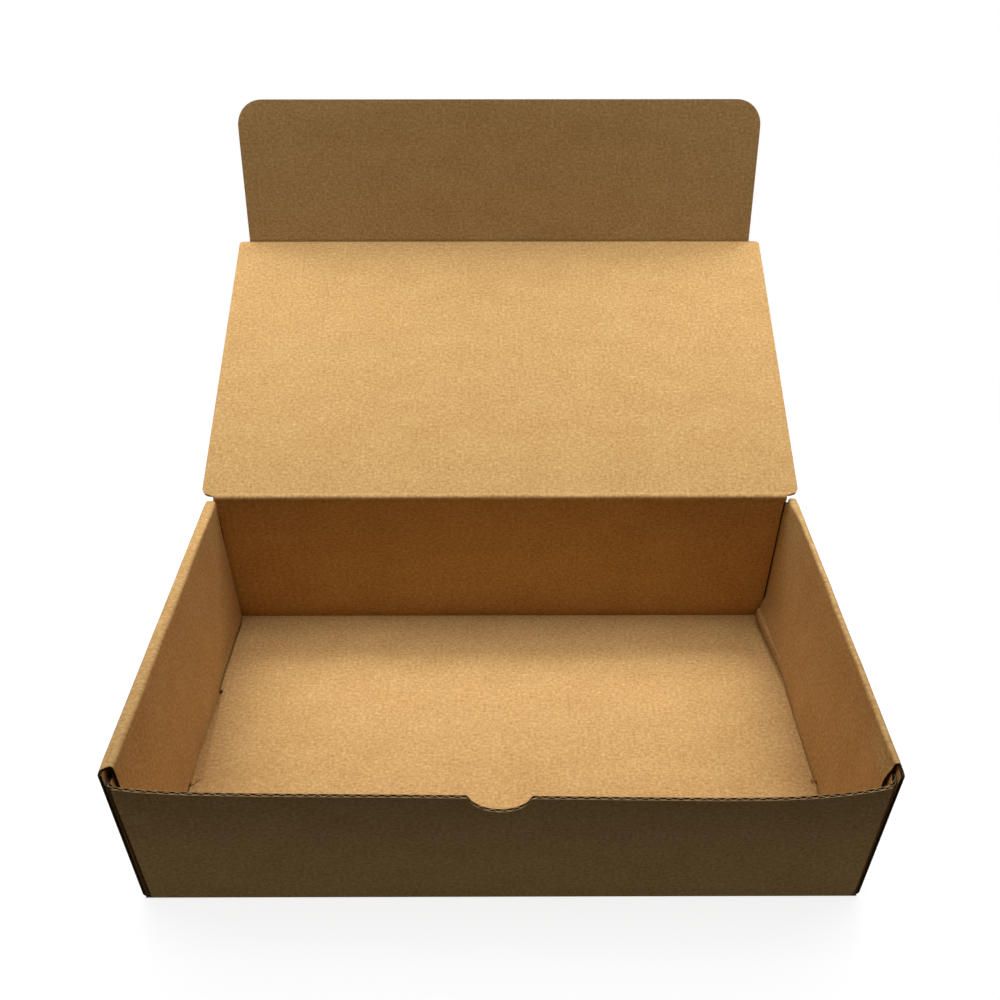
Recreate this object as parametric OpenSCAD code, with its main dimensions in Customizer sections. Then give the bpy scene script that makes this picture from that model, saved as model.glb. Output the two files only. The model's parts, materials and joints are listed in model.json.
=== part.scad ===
// Mailer box folded from one die-cut sheet of fine corrugated board.
// The tray has a single front and back wall and side walls rolled over to a
// double thickness, with the dust flaps trapped between the two layers and a
// lock tab of each inner panel pushed into a slot in the floor. The lid hinges
// on the back wall's top crease and carries a tuck flap on its front crease.
// It stands open: the lid leans back and the tuck flap is half folded.
// Millimetres. X runs along the front, Y from front to back, Z up, and the
// origin is the middle of the tray's underside.

/* [Board] */
// Thickness of the corrugated board
board_t = 1.4; // [1:0.1:1.8]
// Inside radius of a folded crease
fold_r = 0.4; // [0.2:0.1:0.6]
// Air between the layers of a rolled side wall
layer_gap = 0.15; // [0.1:0.05:0.3]

/* [Tray] */
// Outside width over the side walls
box_w = 232; // [160:1:320]
// Outside depth over the front and back walls
box_d = 133; // [125:1:220]
// Height of the rolled side walls
side_h = 63; // [45:1:110]
// How far the front wall stops below the rolled edge
front_drop = 5.5; // [3.5:0.5:15]
// How far the raw ends of the side walls stand back from the corners
side_setback = 0.9; // [0.5:0.1:1.5]
// Length of a dust flap, from the corner it is folded round
dust_len = 52; // [25:1:55]
// Slant of a dust flap's end over its height
dust_slant = 6; // [0:1:15]

/* [Thumb notch] */
// Width of the thumb notch at the front wall's top edge
notch_w = 18.6; // [17:0.2:40]
// Depth of the thumb notch
notch_depth = 7.2; // [4:0.2:8]
// Radius of the notch's shoulders
notch_shoulder_r = 1.6; // [0.5:0.1:4]

/* [Side locks] */
// Length of the lock tab under an inner side panel
tab_len = 46; // [20:1:80]
// Length of the slanted ends of a lock tab
tab_slant = 1; // [0.2:0.1:2]
// Room round a lock tab in its floor slot
slot_clear = 0.5; // [0.2:0.1:1]
// Height of a lock tab's edge above the underside
tab_rise = 0.2; // [0.1:0.1:0.6]
// Gap between an inner side panel and the floor
panel_gap = 0.3; // [0.1:0.1:0.8]

/* [Lid] */
// How far the lid stands past each side wall
lid_overhang = 1.3; // [0:0.1:3]
// Radius of the lid's corners beside the hinge
lid_corner_r = 4; // [1:0.5:10]
// Air between the closed lid and the rolled edges
lid_gap = 0.3; // [0.2:0.1:1]
// Radius of the tuck flap's free corners
flap_corner_r = 11; // [3:1:25]
// Air in front of and behind the closed tuck flap
tuck_clear = 0.4; // [0.3:0.1:1]
// Air beside the closed tuck flap
flap_side_clear = 0.3; // [0.2:0.1:2]
// Height of the closed tuck flap's edge above the floor
flap_floor_gap = 2.6; // [1:0.1:20]
// Gap across a crease that moves
crease_gap = 0.3; // [0.2:0.1:0.6]

/* [Pose] */
// Lid angle, opened from closed
lid_angle = 153.5; // [90:0.5:180]
// Tuck flap angle, folded in from the lid's plane
flap_fold = 51.5; // [0:0.5:90]

/* [Hidden] */

$fn = 48;
kraft_inside = [0.80, 0.62, 0.42];
kraft_shade = [0.72, 0.54, 0.35];
cut_through = 10;
arc_steps = 16;

fold_out = fold_r + board_t;
half_w = box_w / 2;
half_d = box_d / 2;
front_h = side_h - front_drop;

// Section of a rolled side wall, as depths in from its outer face.
flap_depth = board_t + layer_gap;
panel_depth = flap_depth + board_t + layer_gap;
wall_depth = panel_depth + board_t;

// Front and back walls run between the outer side panels.
end_half = half_w - flap_depth;
fold_half = end_half - fold_out;
dust_top = side_h - fold_out - layer_gap;

// The closed tuck flap stands behind the front wall, ahead of the inner panels.
panel_front = 2 * (board_t + tuck_clear);
panel_back = board_t + tuck_clear;
panel_bottom = board_t + panel_gap;

// Creases that move lie at mid-thickness of the board.
hinge_y = half_d - board_t / 2;
hinge_z = side_h + lid_gap + board_t / 2;
crease_clear = board_t / 2 + crease_gap;
lid_w = box_w + 2 * lid_overhang;
lid_len = box_d - 2 * board_t - tuck_clear;
flap_w = 2 * (half_w - panel_depth + layer_gap - flap_side_clear);
flap_len = hinge_z - board_t - flap_floor_gap;

notch_r = (pow(notch_w / 2, 2) + pow(notch_depth, 2)) / (2 * notch_depth);
notch_rise = notch_r - notch_depth;

// A quarter bend of the board about its centre, from the -x side to the -y side.
module bend() {
    intersection() {
        difference() {
            circle(r = fold_out);
            circle(r = fold_r);
        }
        translate([-fold_out, -fold_out])
            square(fold_out);
    }
}

// A flat run of board in section.
module run(from, to) {
    translate(from)
        square(to - from);
}

// Section of a rolled side wall: x is the depth in from its outer face, y its height.
module rolled_section() {
    translate([fold_out, fold_out])
        bend();
    run([0, fold_out], [board_t, side_h - fold_out]);
    translate([fold_out, side_h - fold_out])
        rotate(-90)
            bend();
    run([fold_out, side_h - board_t], [wall_depth - fold_out, side_h]);
    translate([wall_depth - fold_out, side_h - fold_out])
        rotate(180)
            bend();
    run([panel_depth, panel_bottom], [wall_depth, side_h - fold_out]);
}

// Plan of a rolled side wall: its ends slant across the rolled edge.
module rolled_plan() {
    polygon([
        [0, side_setback - half_d],
        [board_t, side_setback - half_d],
        [panel_depth - layer_gap, panel_front - half_d],
        [wall_depth, panel_front - half_d],
        [wall_depth, half_d - panel_back],
        [panel_depth - layer_gap, half_d - panel_back],
        [board_t, half_d - side_setback],
        [0, half_d - side_setback],
    ]);
}

// Outline of a lock tab: x along the panel, y its height.
module tab_outline() {
    half = tab_len / 2;
    polygon([
        [-half + tab_slant, tab_rise],
        [half - tab_slant, tab_rise],
        [half, board_t],
        [half, panel_bottom + fold_out],
        [-half, panel_bottom + fold_out],
        [-half, board_t],
    ]);
}

// One rolled side wall with its lock tab, on the -X side.
module side_wall() {
    translate([-half_w, 0, 0]) {
        intersection() {
            rotate([90, 0, 0])
                linear_extrude(box_d, center = true)
                    rolled_section();
            linear_extrude(side_h)
                rolled_plan();
        }
        translate([panel_depth, 0, 0])
            rotate([90, 0, 90])
                linear_extrude(board_t)
                    tab_outline();
    }
}

// A slot in the floor with round ends, for the lock tab on the -X side.
module lock_slot() {
    slot_r = board_t / 2 + slot_clear;
    reach = tab_len / 2;
    translate([wall_depth - board_t / 2 - half_w, 0, -cut_through / 2])
        linear_extrude(cut_through) {
            square([2 * slot_r, 2 * reach], center = true);
            for (end = [-1, 1])
                translate([0, end * reach])
                    circle(r = slot_r);
        }
}

module floor_panel() {
    difference() {
        translate([fold_out - half_w, fold_out - half_d, 0])
            cube([box_w - 2 * fold_out, box_d - 2 * fold_out, board_t]);
        for (side = [0, 1])
            mirror([side, 0, 0])
                lock_slot();
    }
}

// Plan of an end wall and its two dust flaps, with the wall along the -Y side.
module end_plan() {
    run([-fold_half, -half_d], [fold_half, board_t - half_d]);
    for (side = [0, 1])
        mirror([side, 0])
            translate([-fold_half, fold_out - half_d]) {
                bend();
                run([-fold_out, 0], [-fold_r, dust_len - fold_out]);
            }
}

// Slants the free ends of a pair of dust flaps, which stand up to a height.
module dust_ends(height) {
    rotate([90, 0, 90])
        linear_extrude(box_w, center = true)
            polygon([
                [-half_d, 0],
                [dust_len - half_d - dust_slant, 0],
                [dust_len - half_d, dust_slant],
                [dust_len - half_d, height - dust_slant],
                [dust_len - half_d - dust_slant, height],
                [-half_d, height],
            ]);
}

// An end wall on the -Y side, folded up from the floor, to a height.
module end_wall(height) {
    translate([0, fold_out - half_d, fold_out])
        rotate([90, 0, 90])
            linear_extrude(2 * fold_half, center = true)
                bend();
    translate([0, 0, fold_out])
        intersection() {
            linear_extrude(height - fold_out)
                end_plan();
            dust_ends(height - fold_out);
        }
}

// Points along an arc about a centre, between two angles.
function arc(centre, r, from, to) = [
    for (i = [0:arc_steps])
        let (a = from + (to - from) * i / arc_steps)
        centre + r * [cos(a), sin(a)]
];

// Outline cut away by the thumb notch, from the front wall's top edge down: a
// round cut that meets the edge in two round shoulders.
module notch_outline() {
    shoulder_x = sqrt(pow(notch_r + notch_shoulder_r, 2) - pow(notch_rise + notch_shoulder_r, 2));
    lean = atan2(notch_rise + notch_shoulder_r, shoulder_x);
    left = arc([-shoulder_x, -notch_shoulder_r], notch_shoulder_r, 90, lean);
    round_cut = arc([0, notch_rise], notch_r, 180 + lean, 360 - lean);
    right = arc([shoulder_x, -notch_shoulder_r], notch_shoulder_r, 180 - lean, 90);
    inner = [for (i = [1:arc_steps - 1]) round_cut[i]];
    top = [[shoulder_x, notch_depth], [-shoulder_x, notch_depth]];
    polygon(concat(left, inner, right, top));
}

module front_wall() {
    difference() {
        end_wall(front_h);
        translate([0, cut_through / 2 - half_d, front_h])
            rotate([90, 0, 0])
                linear_extrude(cut_through)
                    notch_outline();
    }
}

// The back wall stands up past its dust flaps to the round of the lid's crease.
module back_wall() {
    mirror([0, 1, 0])
        end_wall(dust_top);
    translate([0, hinge_y, 0])
        rotate([90, 0, 90])
            linear_extrude(2 * fold_half, center = true) {
                run([-board_t / 2, dust_top - fold_out], [board_t / 2, hinge_z]);
                translate([0, hinge_z])
                    circle(r = board_t / 2);
            }
}

module tray() {
    color(kraft_shade) {
        floor_panel();
        for (side = [0, 1])
            mirror([side, 0, 0])
                side_wall();
        front_wall();
        back_wall();
    }
}

// Places a panel on the lid's crease: y runs along the lid, +z is its inner face.
module on_lid_crease() {
    translate([0, hinge_y, hinge_z])
        rotate([180 - lid_angle, 0, 0])
            children();
}

// Places a panel on the tuck flap's crease, the same way.
module on_flap_crease() {
    on_lid_crease()
        translate([0, lid_len, 0])
            rotate([flap_fold, 0, 0])
                children();
}

// Flat panel from one y to another, with its corners at one end rounded.
module panel_outline(width, from, to, corner_r) {
    run([-width / 2, from + corner_r], [width / 2, to]);
    run([corner_r - width / 2, from], [width / 2 - corner_r, to]);
    for (side = [-1, 1])
        translate([side * (width / 2 - corner_r), from + corner_r])
            circle(r = corner_r);
}

module lid() {
    color(kraft_inside)
        on_lid_crease() {
            translate([0, 0, -board_t / 2])
                linear_extrude(board_t)
                    panel_outline(lid_w, crease_clear, lid_len, lid_corner_r);
            translate([0, lid_len, 0])
                rotate([0, 90, 0])
                    cylinder(h = flap_w, r = board_t / 2, center = true);
        }
}

module tuck_flap() {
    color(kraft_shade)
        on_flap_crease()
            translate([0, 0, -board_t / 2])
                linear_extrude(board_t)
                    mirror([0, 1])
                        panel_outline(flap_w, -flap_len, -crease_clear, flap_corner_r);
}

tray();
lid();
tuck_flap();
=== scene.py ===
"""Looks of a corrugated kraft mailer box that stands open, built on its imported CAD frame.

The box is one folded sheet of board. Each panel is a pair of flat liners round a middle surface, worked
out with numpy, and its raw edges show the wavy fluted sheet between the liners. Lengths are in metres,
in the frame of the CAD part.
"""
import json
import math
from types import SimpleNamespace

import bmesh
import bpy
import numpy as np
from bpy.props import FloatProperty, FloatVectorProperty, PointerProperty
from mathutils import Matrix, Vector


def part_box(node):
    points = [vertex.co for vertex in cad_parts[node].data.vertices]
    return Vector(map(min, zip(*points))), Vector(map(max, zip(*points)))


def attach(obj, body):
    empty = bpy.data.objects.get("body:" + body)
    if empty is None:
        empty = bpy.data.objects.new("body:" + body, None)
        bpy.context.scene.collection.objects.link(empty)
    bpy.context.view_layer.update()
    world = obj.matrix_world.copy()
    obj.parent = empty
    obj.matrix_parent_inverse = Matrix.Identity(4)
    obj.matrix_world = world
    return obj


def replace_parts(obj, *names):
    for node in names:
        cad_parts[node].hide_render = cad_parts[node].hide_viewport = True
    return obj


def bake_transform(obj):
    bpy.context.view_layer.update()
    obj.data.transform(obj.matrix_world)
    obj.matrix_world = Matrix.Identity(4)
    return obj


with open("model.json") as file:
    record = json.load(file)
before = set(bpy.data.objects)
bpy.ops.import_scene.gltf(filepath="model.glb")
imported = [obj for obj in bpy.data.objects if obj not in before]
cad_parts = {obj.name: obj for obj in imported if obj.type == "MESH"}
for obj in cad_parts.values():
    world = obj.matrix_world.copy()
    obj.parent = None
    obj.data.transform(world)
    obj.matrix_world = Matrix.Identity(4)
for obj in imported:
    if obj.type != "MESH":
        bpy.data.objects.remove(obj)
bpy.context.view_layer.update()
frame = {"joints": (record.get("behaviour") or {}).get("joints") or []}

bl_info = {
    "name": "Corrugated Mailer Box",
    "version": (1, 0, 0),
    "blender": (4, 5, 0),
    "location": "3D View > Sidebar > Mailer",
    "description": "Builds a folded mailer box of fine corrugated board, with its raw fluted edges",
    "category": "Add Mesh",
}

# Finish numbers of the faces of a board, in the order of the material slots
LINER = 0
EDGE = 1
# The fluting's finish is near black: the fluting's own kraft darkened as painted shade for the open flutes,
# and also the finish of painted shade in folds, slots and raw ends
FLUTES_AND_SHADE = 2
CUT = 3

# The outer liner's patch of the flat sheet lies this far beside the inner one's
OUTER_OFFSET = 1.0
QUARTER = math.pi / 2
MILLIMETRES = 1000.0

# Short steps: for slopes, for the tuck crease's shoulder, and between points along a fluted edge
NORMAL_STEP = 1e-5
SHOULDER_STEP = 5e-5
FLUTE_STEP = 0.00028

# Width of the back wall's two end folds, which step back and carry painted shade
CORNER_FOLD = 0.0009
# From a lock tab's end to the middle of the slot's open end
SLOT_END = 0.0004


def length(name, description, default):
    """A property that holds a length in metres."""
    return FloatProperty(name=name, description=description, default=default, unit="LENGTH", precision=5)


def share(name, description, default):
    """A property that holds a plain number."""
    return FloatProperty(name=name, description=description, default=default, precision=3)


def location(name, description, default):
    """A property that holds a point in metres."""
    return FloatVectorProperty(name=name, description=description, default=default, unit="LENGTH",
                               size=3, precision=5)


def angle(name, description, degrees):
    """A property that holds an angle, given in degrees."""
    return FloatProperty(name=name, description=description, default=math.radians(degrees), subtype="ANGLE")


def colour(name, description, default):
    """A property that holds a linear colour."""
    return FloatVectorProperty(name=name, description=description, default=default, subtype="COLOR",
                               size=3, min=0.0, max=1.0)


class MailerBoard(bpy.types.PropertyGroup):
    """The corrugated board that the sheet is cut from."""

    thickness: length("Thickness", "Thickness of the board over both liners", 0.0014)
    fold_radius: length("Fold radius", "Inner radius of a folded crease", 0.0004)
    layer_gap: length("Layer gap", "Air between two boards that lie together", 0.00015)
    liner: length("Liner", "Thickness of one flat liner", 0.00014)
    fluting: length("Fluting", "Thickness of the wavy sheet between the liners", 0.00022)
    crush: share("Crushed edge", "Thickness left at a raw edge that the cutting die has pressed", 0.78)
    flute_pitch: length("Flute pitch", "Distance from one flute to the next", 0.00335)
    flute_depth: length("Flute depth", "How far the open flutes reach in from a raw edge", 0.0045)


class MailerTray(bpy.types.PropertyGroup):
    """The tray: floor, walls, rolled sides and dust flaps."""

    front_drop: length("Front drop", "How much lower the front wall is than the side walls", 0.0055)
    side_setback: length("Side setback", "From the front wall's face back to a side wall's raw end", 0.0011)
    strip_front: length("Left edge front", "From the front face to the left rolled edge's end", 0.0026)
    panel_front: length("Left panel front", "From the front face to the left panel's end", 0.0035)
    panel_front_right: length("Right panel front", "From the front face to the right panel's end", 0.0043)
    panel_back: length("Panel back", "From the back wall's face to an inner side panel's back end", 0.0024)
    rear_left: length("Left rear reach", "How much further back the left rolled edge reaches", 0.0011)
    rear_right: length("Right rear reach", "How much further back the right rolled edge reaches", 0.0026)
    panel_gap: length("Panel gap", "From the floor up to an inner side panel", 0.0007)
    dust_length: length("Dust flap length", "Length of a dust flap along the side wall", 0.052)
    dust_slant: length("Dust flap slant", "Slanted corner at a dust flap's free end", 0.006)
    tab_length: length("Lock tab length", "Length of a side panel's lock tab in its floor slot", 0.0435)
    notch_width: length("Notch width", "Width of the thumb notch at the front wall's top", 0.0186)
    notch_depth: length("Notch depth", "Depth of the thumb notch", 0.0072)
    notch_shoulder: length("Notch shoulder", "Radius of the thumb notch's shoulders", 0.0007)
    notch_shift: length("Notch shift", "How far the thumb notch lies to the right of the middle", -0.0005)
    bow: length("Front bow", "How far the front wall's free top edge bows out in the middle", 0.0041)
    bow_skew: length("Front bow skew", "How much further it bows out on the right", 0.00175)
    bow_ends: length("Front bow at the ends", "How much further it bows out towards both ends", 0.0004)
    floor_crown: length("Floor crown", "How far the floor bulges up in the middle", 0.0004)
    slot_dent: length("Slot dent", "How far the floor is pressed down beside a lock tab", 0.0013)
    slot_pit: length("Slot pit", "Depth of the small open slot at the ends of a lock tab", 0.0013)
    gap_dent: length("Gap dent", "Depth of the open line under an inner side panel", 0.0009)
    corner_dent: length("Corner dent", "How far the back wall steps back behind the side panels", 0.0006)
    crease_dent: length("Crease dent", "Depth of the lines pressed along the floor's two folds", 0.0004)
    roll_fold: length("Roll fold", "Middle radius of the two folds along a rolled edge", 0.0006)
    pinch_left: length("Left roll pinch", "How much the left rolled edge is pressed together", 0.0002)
    pinch_right: length("Right roll pinch", "How much the right rolled edge is pressed together", 0.00185)
    foot_right: length("Right foot pinch", "How much the right wall's foot is pressed together", 0.0015)
    tilt_right: length("Right roll tilt", "Drop of the right outer fold below the inner one", 0.0012)
    splay_back: length("Right splay, back", "How far the right wall's top leans out at the back", 0.0017)
    splay_front: length("Right splay, front", "How far the right wall's top leans out at the front", 0.0003)


class MailerLid(bpy.types.PropertyGroup):
    """The lid, its tuck flap and its two creases."""

    hinge_corner: length("Hinge corner", "Corner radius of the lid beside its hinge", 0.003)
    front_corner: length("Front corner", "Corner radius of the lid beside the tuck flap", 0.0022)
    shoulder: length("Lid shoulder", "How far the lid's front corners reach past the tuck crease", 0.0003)
    flap_corner: length("Flap corner", "Corner radius of the tuck flap's free edge", 0.011)
    # Painted shade: a line of this width in the tuck crease takes the dark fluting finish
    shade_line: length("Pressed line", "Width of the dark pressed line in the tuck crease", 0.0010)
    bend_half: length("Crease bend", "Half the length of board that bends at a crease", 0.0015)
    crease_half: length("Crease strip", "Half the length of the strip of board made for a crease", 0.0017)
    lid_gap: length("Lid gap", "Air between the closed lid and the side walls", 0.0003)


class MailerFinish(bpy.types.PropertyGroup):
    """Colours and texture of the kraft paper."""

    liner: colour("Liner", "Colour of the kraft liners", (0.53, 0.322, 0.128))
    edge: colour("Raw edge", "Colour of a cut along the flutes", (0.56, 0.36, 0.17))
    cut: colour("Cut flutes", "Colour of a cut across the flutes", (0.38, 0.24, 0.115))
    # Painted shade: the fluting colour is near black, standing in for the shade inside the open flutes and
    # in the folds, slots and raw ends that take it
    flutes: colour("Fluting", "Colour of the sheet between the liners", (0.11, 0.06, 0.024))
    fibre: share("Fibre", "Strength of the fibre streaks across the flutes", 0.36)
    grain: share("Grain", "Strength of the fine grain", 0.66)
    mottle: share("Mottle", "Strength of the wide light and dark patches", 0.18)
    specks: share("Specks", "Strength of the small dark specks", 0.2)
    roughness: share("Roughness", "Roughness of the uncoated paper", 0.85)


class MailerStage(bpy.types.PropertyGroup):
    """Light, floor and camera."""

    far: share("Far light", "Power of each of the two lights high overhead, in watts", 16.5)
    far_place: location("Far place", "Place of the right light high overhead", (0.25, 0.2, 3.0))
    far_width: length("Far width", "Width of a light high overhead, from left to right", 0.5)
    far_depth: length("Far depth", "Depth of a light high overhead, from front to back", 1.3)
    near: share("Near light", "Power of each of the two lights close above the box, in watts", 1.32)
    near_place: location("Near place", "Place of the right light close above", (0.32, 0.18, 0.45))
    near_width: length("Near width", "Width of a light close above, from left to right", 0.25)
    near_depth: length("Near depth", "Depth of a light close above, from front to back", 0.36)
    grid: share("Lid light", "Power of each of the two narrow lights on the lid, in watts", 0.095)
    grid_place: location("Lid light place", "Place of the right light on the lid", (0.2, 0.32, 0.6))
    grid_aim: location("Lid light aim", "Point that the right light on the lid faces", (0.1, 0.13, 0.09))
    grid_size: length("Lid light size", "Side of a square light on the lid", 0.16)
    grid_spread: angle("Lid light spread", "Angle that a light on the lid shines into", 34)
    card: share("Front card", "Power of the dim low light in front, in watts", 0.055)
    card_place: location("Card place", "Place of the low light in front", (0.09, -0.14, 0.012))
    card_width: length("Card width", "Width of the low light in front", 0.9)
    card_height: length("Card height", "Height of the low light in front", 0.02)
    rear: share("Rear card", "Power of the dim low light behind the box, in watts", 0.45)
    rear_place: location("Rear place", "Place of the low light behind the box", (0.0, 0.5, 0.05))
    rear_width: length("Rear width", "Width of the low light behind the box", 0.6)
    rear_height: length("Rear height", "Height of the low light behind the box", 0.08)
    ambient: share("Ambient", "Strength of the light from all round", 0.0)
    bounce: share("Floor bounce", "Share of light that the floor throws back at the box", 0.02)
    shadow: share("Floor shadow", "How strongly the white floor shows the shadow of the box", 0.2)
    glow: share("Floor white", "Brightness of the white floor in full shadow", 0.86)
    camera: location("Camera", "Place of the camera", (-0.00098, -0.24426, 0.29234))
    pitch: angle("Camera pitch", "How far the camera looks down", 36.538)
    yaw: angle("Camera yaw", "How far the camera is turned to the right", 0.165)
    lens: share("Lens", "Focal length in millimetres on a 36 mm sensor", 35.265)


def sizes(scene):
    """Every length and angle that the surfaces share, worked out from the CAD frame and the settings."""
    board = scene.mailer_board
    tray = scene.mailer_tray
    joints = {joint["name"]: joint for joint in frame["joints"]}
    tray_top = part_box("tray")[1]
    flap_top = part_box("tuck_flap")[1]
    d = SimpleNamespace(board=board, tray=tray, lid=scene.mailer_lid)
    d.half = board.thickness / 2
    d.core = d.half - board.liner
    d.fold = board.fold_radius + d.half
    d.fold_out = board.fold_radius + board.thickness
    d.arc = d.fold * QUARTER
    d.half_w = tray_top.x
    d.half_d = tray_top.y
    d.hinge = np.array(joints["lid_hinge"]["pos_m"])
    d.tuck = np.array(joints["tuck_hinge"]["pos_m"])
    d.side_h = d.hinge[2] - d.half - d.lid.lid_gap
    d.front_h = d.side_h - tray.front_drop
    d.floor_half = d.half_d - d.fold_out
    d.floor_w = d.half_w - d.fold_out
    d.layer = board.thickness + board.layer_gap
    d.wall_depth = 2 * d.layer + board.thickness
    d.dust_half = d.half_w - d.layer - d.half
    d.fold_half = d.dust_half - d.fold
    d.dust_top = d.side_h - d.fold_out - board.layer_gap
    d.roll = tray.roll_fold
    d.roll_arc = d.roll * QUARTER
    d.roll_out = d.roll + d.half
    d.outer_run = d.side_h - d.fold_out - d.roll_out
    d.strip_start = d.arc + d.outer_run
    d.rolls = {-1: roll_stations(tray.pinch_left, d), 1: roll_stations(tray.pinch_right, d)}
    lid_along = d.tuck - d.hinge
    d.lid_len = float(np.linalg.norm(lid_along))
    d.lid_turn = math.atan2(lid_along[2], lid_along[1])
    d.flap_turn = d.lid_turn - math.radians(joints["tuck_hinge"]["range_deg"][0])
    d.lid_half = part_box("lid")[1].x
    d.flap_half = flap_top.x
    d.flap_len = (flap_top.z - d.tuck[2] - d.half * math.cos(d.flap_turn)) / math.sin(d.flap_turn)
    d.hinge_r = -wall_row(d.hinge[2], d)
    return d


def roll_stations(pinch, d):
    """Thickness of a rolled wall at its pinched top, and where along its section the rolled edge's
    second fold, the inner panel and the panel's free end lie."""
    roll = SimpleNamespace(depth=d.wall_depth - pinch)
    roll.top_run = roll.depth - 2 * d.roll_out
    roll.third = d.strip_start + d.roll_arc + roll.top_run
    roll.panel = roll.third + d.roll_arc
    roll.end = roll.panel + d.side_h - d.roll_out - d.board.thickness - d.tray.panel_gap
    return roll


def wall_row(z, d):
    """Distance along the sheet from the middle of the floor to height z on the front or back wall."""
    return d.floor_half + d.arc + z - d.fold_out


def smooth(t):
    """Smooth step from 0 to 1: three times t squared less twice t cubed, held outside 0 to 1."""
    t = np.clip(t, 0, 1)
    return t * t * (3 - 2 * t)


def ramp(t, start, run):
    """Smooth step from 0 at the start to 1 at the end of the run."""
    return smooth((t - start) / run)


def ripple(t, wavelength, phase):
    """An uneven wave about 0: three sines whose wavelengths have no common multiple."""
    turn = 2 * math.pi * t / wavelength + phase
    return (np.sin(turn) + 0.6 * np.sin(2.37 * turn + 1.3) + 0.35 * np.sin(4.83 * turn + 2.1)) / 1.95


def sheet_path(r, d):
    """Middle line of the strip front wall, floor and back wall, from the distance r along it.

    r is 0 in the middle of the floor and grows to the front: a straight floor, a quarter circle at each
    fold and a straight wall. Gives y, z and how far the point is up its wall.
    """
    beyond = np.abs(r) - d.floor_half
    turn = np.clip(beyond / d.fold, 0, QUARTER)
    rise = np.maximum(beyond - d.arc, 0)
    y = -np.sign(r) * (np.minimum(np.abs(r), d.floor_half) + d.fold * np.sin(turn))
    z = d.half + d.fold * (1 - np.cos(turn)) + rise
    return y, z, rise


def front_bow(x, d):
    """How far the front wall's top edge bows out: a flat-topped hump, 1 less a power of x that falls
    from 9.2 on the left to 5.2 on the right, times a slanted and slightly hollow height."""
    middle_power = 7.2
    power_skew = 2
    across = np.clip(x / d.half_w, -1, 1)
    height = d.tray.bow + d.tray.bow_skew * across + d.tray.bow_ends * across**2
    return (1 - np.abs(across) ** (middle_power - power_skew * across)) * height


def tray_surface(r, c, d):
    """Middle surface of front wall, floor and back wall: the path r carried along x.

    The floor is a little wider than the walls, so c is stretched there. The front wall bows out with
    the 1.3rd power of its height, and the floor bulges up as a product of two cosines.
    """
    bow_power = 1.3
    y, z, rise = sheet_path(r, d)
    widen = smooth((d.floor_half - np.abs(r)) / d.board.thickness)
    x = c * (1 + widen * (d.floor_w / d.fold_half - 1))
    lift = np.clip(rise / (d.front_h - d.fold_out), 0, 1.1) ** bow_power
    y = y - np.where(r > 0, front_bow(x, d) * lift, 0)
    along = np.cos(QUARTER * np.clip(r / d.floor_half, -1, 1))
    across = np.cos(QUARTER * np.clip(x / d.floor_w, -1, 1))
    z = z + d.tray.floor_crown * along * across
    return np.stack([x, y, z], -1)


def roll_section(q, roll, d):
    """Middle line of a rolled side wall's section, from the distance q along it from the floor's edge.

    A quarter circle at the floor and two tighter ones along the rolled edge join the outer panel, the
    narrow top strip and the inner panel. Gives the depth in from the box's side, and z.
    """
    first = np.clip(q / d.fold, 0, QUARTER)
    up = np.clip(q - d.arc, 0, d.outer_run)
    second = np.clip((q - d.strip_start) / d.roll, 0, QUARTER)
    across = np.clip(q - d.strip_start - d.roll_arc, 0, roll.top_run)
    third = np.clip((q - roll.third) / d.roll, 0, QUARTER)
    down = np.maximum(q - roll.panel, 0)
    depth = d.fold_out + np.maximum(-q, 0) - d.fold * np.sin(first)
    depth = depth + d.roll * (1 - np.cos(second)) + across + d.roll * np.sin(third)
    z = d.half + d.fold * (1 - np.cos(first)) + up + d.roll * np.sin(second)
    z = z - d.roll * (1 - np.cos(third)) - down
    return depth, z


def left_lean(y, down, d):
    """How far the left inner panel's free rear corner leans in: a smooth step along y times the square
    of the depth, with a faint ripple."""
    corner = 0.0008
    waviness = 0.0002
    depth = np.clip(down / d.side_h, 0, 1)
    rear = ramp(y, -0.2 * d.half_d, 1.2 * d.half_d)
    return corner * rear * depth**2 + waviness * depth * ripple(y, 0.05, 0.4)


def right_lean(y, down):
    """How far the right inner panel stands in, as products of smooth steps along y and down the panel.

    The rear end stands in up to the top, the front corner bulges in below the rolled edge, and the last few
    millimetres above the floor curl in and make a lip, which fades out towards the middle.
    """
    rear_end = 0.0010
    rear_foot = 0.0013
    end_flare = 0.0006
    top_flare = 0.0007
    foot_lip = 0.0013
    front_bulge = 0.0015
    lower = rear_end * ramp(down, 0, 0.010) * (1 - 0.4 * ramp(down, 0.015, 0.025))
    lower = lower + rear_foot * ramp(down, 0.046, 0.010)
    rear = lower * ramp(y, 0.022, 0.042)
    flare = ramp(y, 0.050, 0.014) * (end_flare + top_flare * (1 - ramp(down, 0, 0.010)))
    lip = foot_lip * ramp(down, 0.0552, 0.0014) * ramp(y, 0.026, 0.036)
    bulge = front_bulge * ramp(-y, 0.040, 0.020) * ramp(down, 0, 0.007) * (1 - ramp(down, 0.010, 0.045))
    return rear + flare + lip + bulge


def panel_lean(y, down, side, d):
    """How far an inner side panel stands in from its plane, from y and the distance down from its top
    fold: the panel's own lean, and the step from its pinched top down to its foot."""
    foot = ramp(down, 0, 0.035)
    if side < 0:
        return left_lean(y, down, d) + d.tray.pinch_left * foot
    return right_lean(y, down) + (d.tray.pinch_right - d.tray.foot_right) * foot


def panel_foot(r, side, d):
    """How far from the middle plane the foot of an inner side panel stands, at the distance r along the
    floor."""
    roll = d.rolls[side]
    return d.half_w - roll.depth - panel_lean(-r, roll.end - roll.panel, side, d)


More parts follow.
